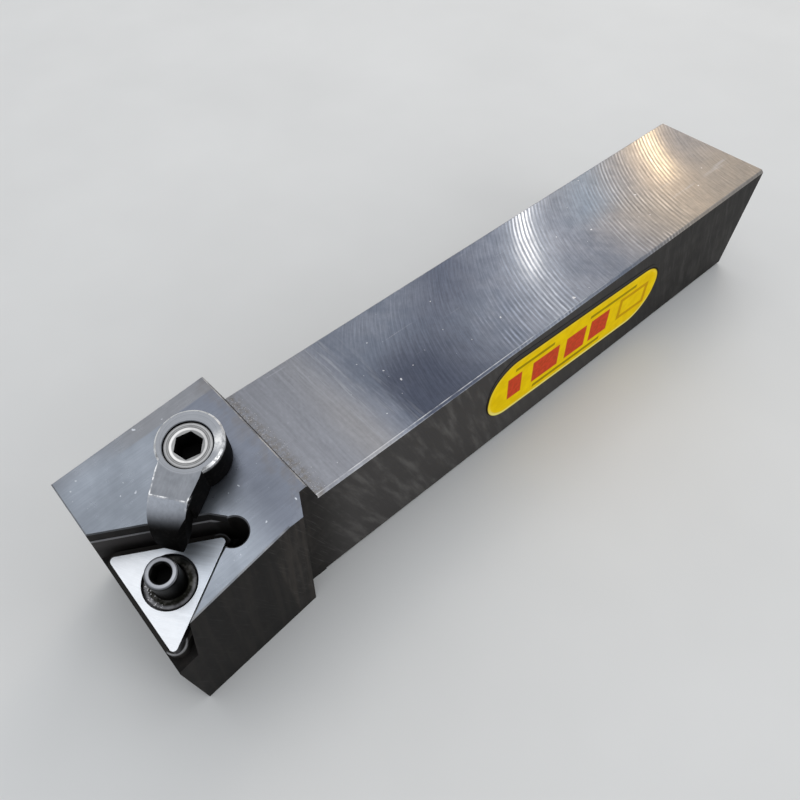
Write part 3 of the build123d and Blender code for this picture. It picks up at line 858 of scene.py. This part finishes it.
def thread_tree():
    """A diamond swept along a spiral."""
    tree, given, result = node_group("thread", {
        "Radius": ("NodeSocketFloat", 3.12 * MM),
        "Pitch": ("NodeSocketFloat", 0.907 * MM),
        "Length": ("NodeSocketFloat", 14.8 * MM),
        "Ridge": ("NodeSocketFloat", 0.45 * MM),
        "Material": ("NodeSocketMaterial", None),
    })
    new, link = tree.nodes.new, tree.links.new
    turns = new("ShaderNodeMath")
    turns.operation = "DIVIDE"
    link(given.outputs["Length"], turns.inputs[0])
    link(given.outputs["Pitch"], turns.inputs[1])
    spiral = new("GeometryNodeCurveSpiral")
    spiral.inputs["Resolution"].default_value = 48
    link(turns.outputs[0], spiral.inputs["Rotations"])
    link(given.outputs["Radius"], spiral.inputs["Start Radius"])
    link(given.outputs["Radius"], spiral.inputs["End Radius"])
    link(given.outputs["Length"], spiral.inputs["Height"])
    upright = new("GeometryNodeSetCurveNormal")
    link(spiral.outputs["Curve"], upright.inputs["Curve"])
    diamond = new("GeometryNodeCurvePrimitiveCircle")
    diamond.inputs["Resolution"].default_value = 4
    link(given.outputs["Ridge"], diamond.inputs["Radius"])
    sweep = new("GeometryNodeCurveToMesh")
    sweep.inputs["Fill Caps"].default_value = True
    link(upright.outputs["Curve"], sweep.inputs["Curve"])
    link(diamond.outputs["Curve"], sweep.inputs["Profile Curve"])
    hand_over(tree, sweep.outputs["Mesh"], given, result)
    return tree


def grow(name, tree, material, matrix, seedbed=None):
    """Run a geometry tree and keep its result as a plain mesh, placed in its own vertices."""
    carrier = add_object(name + "_carrier", seedbed or bpy.data.meshes.new(name + "_seed"))
    modifier = carrier.modifiers.new(name, "NODES")
    modifier.node_group = tree
    for item in tree.interface.items_tree:
        if item.name == "Material":
            modifier[item.identifier] = material
    carrier.update_tag()
    bpy.context.view_layer.update()
    result = carrier.evaluated_get(bpy.context.evaluated_depsgraph_get())
    mesh = bpy.data.meshes.new_from_object(result)
    bpy.data.objects.remove(carrier)
    mesh.transform(matrix)
    mesh.name = name
    piece = add_object(name, mesh)
    print(name, len(mesh.polygons), "faces")
    return piece


THREAD_FOOT = SCREW_END + 0.6
thread = grow("clamp_screw_thread", thread_tree(), screw_steel,
              screw_frame @ Matrix.Translation((0, 0, THREAD_FOOT * MM)))
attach(thread, "screw")

# %% [markdown]
# ## Clamp
# A forged hook, blacked, its top ground flat and its boss faced on a lathe. Handling has rubbed it: the
# arm's edges and the crease where the nose starts are rubbed bright and carry painted highlights, the nose
# has a painted highlight at the crease that fades to black towards its tip, and the sides keep their rough
# black skin.

# %% Clamp steel
BOSS_RADIUS = 5.12
CREASE = 8.85
ARM_HALF, ARM_TAPER = 3.85, 0.117
TOP_LOW, TOP_HIGH = (0.180, 0.190, 0.208), (0.215, 0.226, 0.246)
BOSS_TONE, BOSS_BRIGHT_SIDE = (0.270, 0.280, 0.300), (0.68, 0.68, 0.67)
# A painted highlight at the nose's crease fading to its black tip; rubbed edges with painted highlights
NOSE_HIGHLIGHT, NOSE_TIP = (0.560, 0.590, 0.650), (0.014, 0.012, 0.012)
CLAMP_EDGE_HIGHLIGHT = (0.85, 0.85, 0.85)
SKIN = ((0.30, (0.0012, 0.0011, 0.0011)), (0.55, (0.0028, 0.0026, 0.0025)), (0.75, (0.0120, 0.0110, 0.0105)))


def rubbed_clamp():
    """Ground top, rubbed edges with painted highlights, nose with a painted highlight fading to black."""
    f = Finish("clamp_steel", 0.0, 0.42, 0.035)
    place = f.local(clamp_frame)
    x, y, z = f.split(place)
    nz = f.split(f.normal)[2]
    radius = f.distance(x, y)
    aside = f.math("ABSOLUTE", y)
    flat = f.span(nz, 0.86, 0.95)
    bare = f.span(nz, 0.22, 0.84)
    rough_noise = f.noise(place, 1.6, 5.0, 0.6)

    # Ground top, a little lighter and ringed on the boss
    hair = f.streaks(place, (0.25, 1.0, 1.0), 3.0)
    tone = f.mix(f.span(f.noise(place, 0.5, 4.0), 0.35, 0.65), TOP_LOW, TOP_HIGH)
    tone = f.vary(tone, hair, 0.94, 1.06)
    on_boss = f.times(f.span(radius, BOSS_RADIUS + 0.1, BOSS_RADIUS - 0.2), flat)
    rings = f.noise(f.join(f.times(radius, 7.0), 0.0, 0.0), 1.0, 3.0)
    ringed = f.vary(BOSS_TONE, rings, 0.82, 1.22)
    tone = f.lay(tone, ringed, on_boss, 0.75)
    # A brighter patch on one side of the boss
    polished = f.times(f.bump(f.math("ARCTAN2", y, x), 1.80, 0.55), on_boss)
    tone = f.mix(f.times(polished, f.span(rough_noise, 0.35, 0.6, 0.35, 0.9)), tone, BOSS_BRIGHT_SIDE)

    # Nose: painted highlight by the crease, fading to black at the tip
    nose = f.span(x, CREASE - 0.05, CREASE + 0.1)
    down = f.span(f.minus(z, f.times(y, 0.25)), 6.2, 2.4)
    nose_tone = f.mix(down, NOSE_HIGHLIGHT, NOSE_TIP)
    nose_tone = f.vary(nose_tone, f.streaks(place, (1.0, 1.0, 0.25), 2.0), 0.92, 1.08)
    tone = f.mix(nose, tone, nose_tone)

    # Rubbed lines with painted highlights: the crease, the arm's two edges, the boss rim
    along = f.noise(place, 1.1, 4.0, 0.65)
    crease_line = f.times(f.bump(x, CREASE, 0.22), f.span(along, 0.38, 0.55, 0.15, 1.0))
    crease_line = f.times(crease_line, f.span(f.math("ABSOLUTE", f.minus(y, 0.7)), 0.2, 1.3))
    half_width = f.minus(ARM_HALF, f.times(x, ARM_TAPER))
    edge = f.span(f.minus(half_width, aside), 0.28, 0.04)
    edge = f.times(edge, f.times(f.span(radius, 5.0, 5.3), f.span(x, 10.4, 9.0)))
    edge = f.times(edge, f.larger(f.span(y, 0.5, -0.5), f.span(x, 7.4, 8.4)))
    edge = f.times(edge, f.span(along, 0.42, 0.60, 0.10, 1.0))
    rim = f.times(f.span(radius, BOSS_RADIUS - 0.42, BOSS_RADIUS - 0.30), f.span(nz, 0.93, 0.86))
    rim = f.times(rim, f.span(radius, BOSS_RADIUS + 0.05, BOSS_RADIUS))
    rim = f.times(rim, f.span(along, 0.35, 0.55, 0.45, 1.0))
    rubbed_and_lit = f.larger(f.larger(crease_line, edge), rim)
    bare = f.larger(bare, f.times(rubbed_and_lit, f.span(z, 5.2, 5.9)))
    tone = f.mix(rubbed_and_lit, tone, CLAMP_EDGE_HIGHLIGHT)

    # Rough black skin on the sides
    colour = f.mix(bare, f.ramp(rough_noise, SKIN), tone)
    f.relief(rough_noise, 0.03, f.minus(0.40, f.times(bare, 0.38)))
    f.relief(hair, 0.003, 0.4)
    return f.finish(colour, f.mix_value(bare, 0.60, 0.36), f.times(bare, 0.9))


dress("clamp", rubbed_clamp())

# %% [markdown]
# ## Label
# A yellow film sticker. Its print is kept to plain fields: a row of slanted red bars, an orange frame and
# three dark rules. Each field is a soft-edged box in the print's own coordinates, given as left, right,
# low and high; a bar is given by its middle and its half width.

# %% Label film
LABEL_CENTRE = Vector((10.15, 18.4, 14.6)) * MM
LABEL_TILT = math.radians(-3.6)
label_line = Vector((0, math.cos(LABEL_TILT), math.sin(LABEL_TILT)))
label_frame = frame_matrix(LABEL_CENTRE, label_line, Vector((1, 0, 0)))
# The yellow print sits a little low and nearly level on the film, which leaves a dark rim above it
PRINT_TURN = Matrix.Rotation(math.radians(0.95), 4, "Z")
print_frame = label_frame @ Matrix.Translation(Vector((0.10, -0.48, 0)) * MM) @ PRINT_TURN
PRINT_HALF = (25.2, 7.05)
PRINT_CORNER = 6.5
LEAN = 0.18
BARS = ((-18.2, 1.9), (-9.4, 3.8), (-0.5, 3.0), (6.8, 2.9))
FRAME_OUTSIDE, FRAME_INSIDE = (13.0, 22.3, -3.1, 3.1), (14.0, 21.3, -2.1, 2.1)
UPPER_RULES, LOWER_RULE = ((-19.0, -8.2, 4.0, 4.8), (2.4, 17.0, 4.0, 4.8)), (-11.8, 8.8, -5.3, -4.4)
# The pale border is a painted highlight along the lower edge; the rim black is a painted shade line round the
# print
YELLOW_LOW, YELLOW_HIGH, PAINTED_EDGE_HIGHLIGHT = (0.84, 0.56, 0.001), (0.95, 0.67, 0.002), (0.93, 0.86, 0.30)
RED, ORANGE, RULE_TONE = (0.58, 0.026, 0.026), (0.52, 0.22, 0.004), (0.12, 0.080, 0.004)
PAINTED_RIM_SHADE, FILM_EDGE = (0.018, 0.013, 0.007), (0.048, 0.046, 0.045)


def field(f, u, v, left, right, low, high, soft=0.10):
    """Soft-edged box, 1 inside."""
    across = f.times(f.span(u, left - soft, left + soft), f.span(u, right + soft, right - soft))
    upright = f.times(f.span(v, low - soft, low + soft), f.span(v, high + soft, high - soft))
    return f.times(across, upright)


def label_film():
    """Yellow film with plain printed fields, a painted highlight along the lower edge and a painted shade
    line round the print.
    """
    f = Finish("label_film", 0.0, 0.6, 0.02)
    place = f.local(print_frame)
    u, v = f.split(place)[:2]
    tone = f.mix(f.span(f.noise(place, 0.35, 4.0), 0.3, 0.7), YELLOW_LOW, YELLOW_HIGH)
    # Red bars lean back like the frame beside them
    leaning = f.plus(u, f.times(v, LEAN))
    bars = None
    for middle, half in BARS:
        bar = field(f, leaning, v, middle - half, middle + half, -3.3, 2.8, 0.18)
        bars = bar if bars is None else f.larger(bars, bar)
    red = f.vary(RED, f.noise(place, 1.2, 4.0), 0.85, 1.15)
    tone = f.lay(tone, red, bars, 0.93)
    outside = field(f, leaning, v, *FRAME_OUTSIDE, 0.15)
    frame_line = f.minus(outside, field(f, leaning, v, *FRAME_INSIDE, 0.15))
    tone = f.lay(tone, ORANGE, frame_line, 0.70)
    rules = f.larger(*[field(f, u, v, *rule) for rule in UPPER_RULES])
    rules = f.larger(rules, field(f, u, v, *LOWER_RULE))
    tone = f.lay(tone, RULE_TONE, rules, 0.66)
    # Distance from the print's rounded outline
    qu = f.larger(f.minus(f.math("ABSOLUTE", u), PRINT_HALF[0] - PRINT_CORNER), 0.0)
    qv = f.larger(f.minus(f.math("ABSOLUTE", v), PRINT_HALF[1] - PRINT_CORNER), 0.0)
    reach = f.distance(qu, qv)
    # A painted highlight along the print's lower edge
    lower_highlight = f.span(reach, PRINT_CORNER - 0.9, PRINT_CORNER - 0.5)
    tone = f.mix(f.times(lower_highlight, f.span(v, -1.0, -6.0, 0.10, 0.75)), tone, PAINTED_EDGE_HIGHLIGHT)
    # A thin painted shade line round the print
    tone = f.mix(f.span(reach, PRINT_CORNER - 0.25, PRINT_CORNER), tone, PAINTED_RIM_SHADE)
    tone = f.mix(f.span(reach, PRINT_CORNER + 0.15, PRINT_CORNER + 0.40), tone, FILM_EDGE)
    f.relief(f.noise(place, 1.2, 3.0), 0.008, 0.3)
    return f.finish(tone)


dress("label", label_film())

# %% [markdown]
# ## Swarf dust
# Fine chips collect where the shoulder meets the shank. They are scattered by Geometry Nodes over a strip
# laid on the steel, denser towards the corner, with a fixed seed so every run gives the same dust.

# %% Dust strip and chip tree
STRIP_LEFT, STRIP_RIGHT, STRIP_END = -14.4, 9.4, -42.4


def strip(name, corners, steps):
    """A grid laid between four corners, with its own 'thick' attribute falling to 0 at the last edge."""
    mesh = bpy.data.meshes.new(name)
    a, b, c, d = [Vector(corner) * MM for corner in corners]
    points, thick = [], []
    for i in range(steps + 1):
        t = i / steps
        for j in range(steps + 1):
            s = j / steps
            points.append(a.lerp(b, s).lerp(d.lerp(c, s), t))
            thick.append((1 - t) ** 2)
    row = steps + 1
    faces = [(i * row + j, i * row + j + 1, (i + 1) * row + j + 1, (i + 1) * row + j)
             for i in range(steps) for j in range(steps)]
    mesh.from_pydata(points, [], faces)
    mesh.attributes.new("thick", "FLOAT", "POINT").data.foreach_set("value", thick)
    return mesh


def chip_tree():
    """Small flat chips on the strip, turned and sized at random."""
    tree, given, result = node_group("chips", {
        "Density": ("NodeSocketFloat", 1.6e7),
        "Smallest": ("NodeSocketFloat", 0.03 * MM),
        "Largest": ("NodeSocketFloat", 0.10 * MM),
        "Seed": ("NodeSocketInt", 5),
        "Material": ("NodeSocketMaterial", None),
    })
    new, link = tree.nodes.new, tree.links.new
    thick = new("GeometryNodeInputNamedAttribute")
    thick.data_type = "FLOAT"
    thick.inputs["Name"].default_value = "thick"
    density = new("ShaderNodeMath")
    density.operation = "MULTIPLY"
    link(thick.outputs["Attribute"], density.inputs[0])
    link(given.outputs["Density"], density.inputs[1])
    scatter = new("GeometryNodeDistributePointsOnFaces")
    link(given.outputs[0], scatter.inputs["Mesh"])
    link(density.outputs[0], scatter.inputs["Density"])
    link(given.outputs["Seed"], scatter.inputs["Seed"])
    chip = new("GeometryNodeMeshIcoSphere")
    chip.inputs["Radius"].default_value = 1.0
    chip.inputs["Subdivisions"].default_value = 1
    # A Random Value node keeps numbers at inputs 2 and 3 and output 1, vectors at inputs 0 and 1 and output 0
    size = new("FunctionNodeRandomValue")
    size.data_type = "FLOAT"
    link(given.outputs["Smallest"], size.inputs[2])
    link(given.outputs["Largest"], size.inputs[3])
    link(given.outputs["Seed"], size.inputs["Seed"])
    shape = new("ShaderNodeVectorMath")
    shape.operation = "SCALE"
    shape.inputs[0].default_value = (1.0, 0.6, 0.45)
    link(size.outputs[1], shape.inputs["Scale"])
    turn = new("FunctionNodeRandomValue")
    turn.data_type = "FLOAT_VECTOR"
    turn.inputs[1].default_value = (0.5, 0.5, 6.28)
    place = new("GeometryNodeInstanceOnPoints")
    link(scatter.outputs["Points"], place.inputs["Points"])
    link(chip.outputs["Mesh"], place.inputs["Instance"])
    link(shape.outputs[0], place.inputs["Scale"])
    link(turn.outputs[0], place.inputs["Rotation"])
    hand_over(tree, place.outputs["Instances"], given, result)
    return tree


# %% Scatter the chips
def chip_finish():
    """Bright steel chips among brown grit."""
    f = Finish("chips", 0.3, 0.5, 0.3)
    place = f.local()
    pick = f.span(f.noise(place, 3.0, 1.0, 0.2), 0.42, 0.50)
    return f.finish(f.mix(pick, (0.130, 0.105, 0.085), (0.66, 0.65, 0.64)))


root_strip = strip("root_strip", [
    (STRIP_LEFT, SHOULDER, SHANK_TOP), (STRIP_RIGHT, SHOULDER, SHANK_TOP),
    (STRIP_RIGHT, STRIP_END, SHANK_TOP), (STRIP_LEFT, STRIP_END, SHANK_TOP)], 12)
chips = grow("swarf_dust", chip_tree(), chip_finish(), Matrix.Identity(4), root_strip)
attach(chips, "holder")

# %% [markdown]
# ## Studio
# A pale floor a hair below the steel, one large overhead softbox, two smaller ones behind that put the
# long sheen on the milled shank, and a fill from the right that shows the sticker and the rubbed edges.

# %% Floor
FLOOR_GAP = 0.05 * MM
FLOOR_TONES = ((0.3, (0.72, 0.72, 0.71)), (0.7, (0.76, 0.76, 0.75)))
floor_mesh = bpy.data.meshes.new("floor")
floor_mesh.from_pydata([(-3, -3, 0), (3, -3, 0), (3, 3, 0), (-3, 3, 0)], [], [(0, 1, 2, 3)])
floor = add_object("floor", floor_mesh)
floor.location.z = -FLOOR_GAP
floor_finish = Finish("floor_plain", 0.0, 0.8, 0.2)
floor_finish.finish(floor_finish.ramp(floor_finish.noise(floor_finish.local(), 0.02, 3.0), FLOOR_TONES))
floor_mesh.materials.append(floor_finish.material)
floor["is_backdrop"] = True


# %% Lights and world
def softbox(name, direction, distance, size, power, colour=(1, 1, 1)):
    """A square area lamp that looks at the world's origin, under the object's middle."""
    data = bpy.data.lights.new(name, "AREA")
    data.size = size
    data.energy = power
    data.color = colour
    lamp = add_object(name, data)
    lamp.location = Vector(direction).normalized() * distance
    lamp.rotation_euler = Vector(direction).to_track_quat("Z", "Y").to_euler()


# Name, direction, distance (m), size (m), power (W), colour
softbox("overhead", (-0.25, 0.05, 1.0), 0.8, 0.6, 1.2)
softbox("back_left", (-0.45, 0.62, 0.62), 0.8, 0.28, 0.5)
softbox("back_warm", (-0.33, 0.80, 0.50), 0.9, 0.25, 0.5, (1.0, 0.80, 0.58))
softbox("right_fill", (1.0, 0.45, 0.45), 0.9, 0.4, 1.3)

world = bpy.data.worlds.new("studio")
world.use_nodes = True
background = world.node_tree.nodes["Background"]
background.inputs["Color"].default_value = (0.85, 0.88, 0.92, 1.0)
background.inputs["Strength"].default_value = 0.70
bpy.context.scene.world = world

# %% Print the sizes
visual_box = [list(corner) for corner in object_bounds()]
print("shown box (mm):", [[round(v * 1000, 2) for v in corner] for corner in visual_box])
